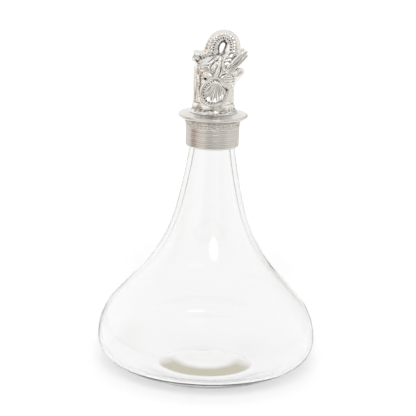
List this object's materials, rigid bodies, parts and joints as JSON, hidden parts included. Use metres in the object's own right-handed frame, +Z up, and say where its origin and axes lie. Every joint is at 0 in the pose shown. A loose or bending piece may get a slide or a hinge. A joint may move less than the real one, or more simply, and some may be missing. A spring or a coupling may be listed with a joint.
{
  "type": "figural liquor decanter",
  "caption": "Clear glass decanter with a wide low body, a metal neck collar and a lift-out stopper topped by a cast elephant head with its trunk curled back over the forehead.",
  "frame": {"origin": "middle of the foot ring, on the surface that the decanter stands on", "axes": "+Z up the bottle's axis, +X the way the elephant looks, -Y the side that shows its right ear"},
  "size_m": [0.1548, 0.1548, 0.2476],
  "materials": {
    "clear_glass": "clear blown glass, polished",
    "white_cement": "set cement, matt off-white",
    "spun_pewter": "pewter, turned with fine lines round it",
    "polished_pewter": "pewter, buffed to a soft shine",
    "cast_pewter": "cast pewter, bright on the high places and darkened in the folds",
    "plug_nylon": "turned nylon, natural white",
    "seal_silicone": "food-grade silicone, translucent white",
    "stainless": "stainless steel, plain"
  },
  "bodies": {
    "bottle": {"glass_bottle": "clear_glass", "neck_cement": "white_cement", "neck_collar": "spun_pewter"},
    "seal_rings": {"upper_seal_ring": "seal_silicone", "lower_seal_ring": "seal_silicone"},
    "stopper": {"stopper_brim": "polished_pewter", "elephant_head": "cast_pewter", "right_tusk": "polished_pewter", "left_tusk": "polished_pewter", "right_ear": "cast_pewter", "left_ear": "cast_pewter", "plug_core": "plug_nylon", "plug_washer": "stainless", "plug_nut": "stainless", "fixing_stud": "stainless"}
  },
  "joints": [
    {"name": "stopper_lift", "type": "slide", "parent": "bottle", "child": "seal_rings", "axis": [0, 0, 1], "range_m": [0, 0.04]},
    {"name": "stopper_twist", "type": "hinge", "parent": "seal_rings", "child": "stopper", "pos_m": [0, 0, 0.1832], "axis": [0, 0, 1], "continuous": true}
  ]
}
